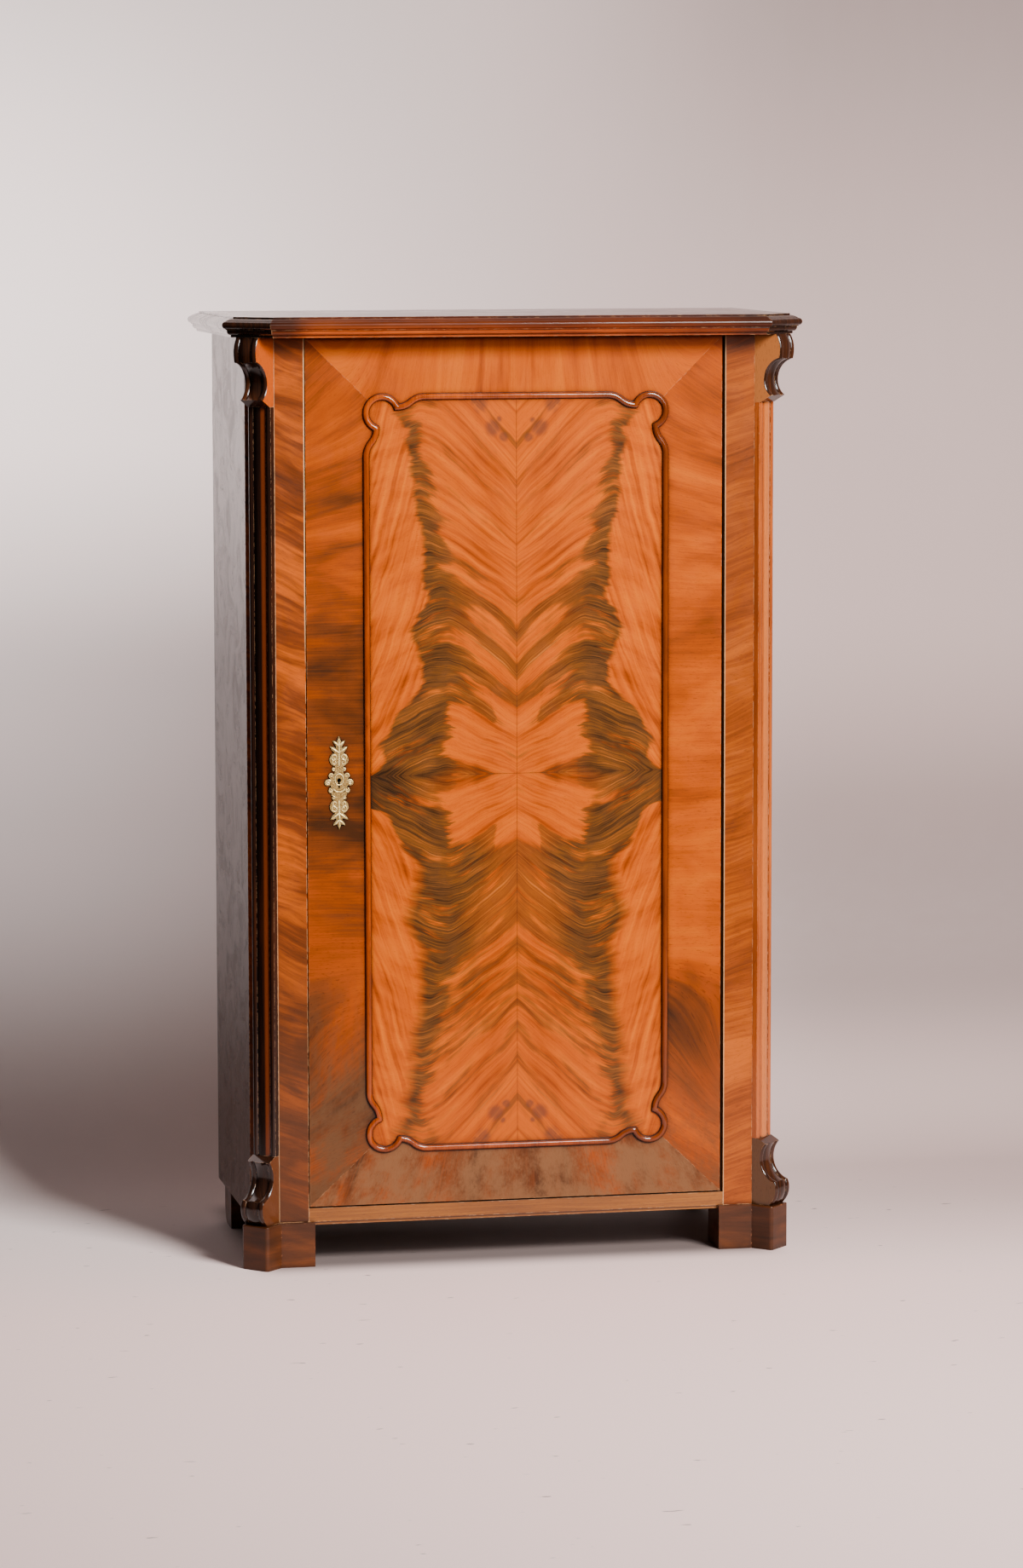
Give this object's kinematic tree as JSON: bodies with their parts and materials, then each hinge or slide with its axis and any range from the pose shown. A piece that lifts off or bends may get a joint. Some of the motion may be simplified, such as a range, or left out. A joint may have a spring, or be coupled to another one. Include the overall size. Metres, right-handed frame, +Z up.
{
  "type": "one-door cupboard",
  "caption": "Tall wooden cupboard with one flame-veneered door, canted corners with reeded strips and scroll consoles, a moulded cornice, a locking door and shelves inside.",
  "frame": {"origin": "centre of the footprint's bounding box, on the floor under the feet", "axes": "+Z up, +X to the right of someone who faces the door, +Y to the back; the door's front faces -Y"},
  "size_m": [0.878, 0.431, 1.42],
  "materials": {
    "flame_mahogany": "french polished flame veneer",
    "border_mahogany": "french polished veneer",
    "carcass_mahogany": "french polished",
    "dark_mahogany": "dark stained and polished",
    "inner_pine": "aged, unpolished",
    "brass": "cast, pale gilt",
    "iron": "dark, oiled"
  },
  "bodies": {
    "carcass": {"left_side_panel": "carcass_mahogany", "right_side_panel": "carcass_mahogany", "left_corner_post": "carcass_mahogany", "right_corner_post": "carcass_mahogany", "bottom_board": "inner_pine", "inner_top_board": "inner_pine", "back_board_1": "inner_pine", "back_board_2": "inner_pine", "back_board_3": "inner_pine", "back_board_4": "inner_pine", "shelf_1": "inner_pine", "shelf_2": "inner_pine", "shelf_3": "inner_pine", "shelf_bearers": "inner_pine", "bottom_rail": "carcass_mahogany", "left_front_foot": "dark_mahogany", "right_front_foot": "dark_mahogany", "left_plinth_block": "dark_mahogany", "right_plinth_block": "dark_mahogany", "left_back_foot": "dark_mahogany", "right_back_foot": "dark_mahogany", "left_reeded_strip": "dark_mahogany", "right_reeded_strip": "dark_mahogany", "left_upper_console": "dark_mahogany", "right_upper_console": "dark_mahogany", "left_lower_console": "dark_mahogany", "right_lower_console": "dark_mahogany", "cornice_right_side": "dark_mahogany", "cornice_right_cant": "dark_mahogany", "cornice_front": "dark_mahogany", "cornice_left_cant": "dark_mahogany", "cornice_left_side": "dark_mahogany", "top_front_rail": "inner_pine", "top_back_rail": "inner_pine", "top_right_rail": "inner_pine", "top_left_rail": "inner_pine", "top_panel": "carcass_mahogany", "strike_plate": "iron", "upper_pivot_plate": "iron", "lower_pivot_plate": "iron"},
    "door": {"door_left_stile": "carcass_mahogany", "door_right_stile": "carcass_mahogany", "door_bottom_rail": "carcass_mahogany", "door_top_rail": "carcass_mahogany", "door_panel": "inner_pine", "flame_veneer_upper_left": "flame_mahogany", "flame_veneer_upper_right": "flame_mahogany", "flame_veneer_lower_left": "flame_mahogany", "flame_veneer_lower_right": "flame_mahogany", "border_veneer_top": "border_mahogany", "border_veneer_bottom": "border_mahogany", "border_veneer_left": "border_mahogany", "border_veneer_right": "border_mahogany", "panel_bead": "carcass_mahogany", "escutcheon": "brass", "lock_case": "iron", "upper_pivot_leaf": "iron", "lower_pivot_leaf": "iron"},
    "lock_bolt": {"lock_bolt": "iron"}
  },
  "joints": [
    {"name": "door_hinge", "type": "hinge", "parent": "carcass", "child": "door", "pos_m": [0.302, -0.1485, 0.739], "axis": [0, 0, 1], "range_deg": [0, 110]},
    {"name": "lock_bolt_slide", "type": "slide", "parent": "door", "child": "lock_bolt", "axis": [-1, 0, 0], "range_m": [0, 0.01]}
  ]
}
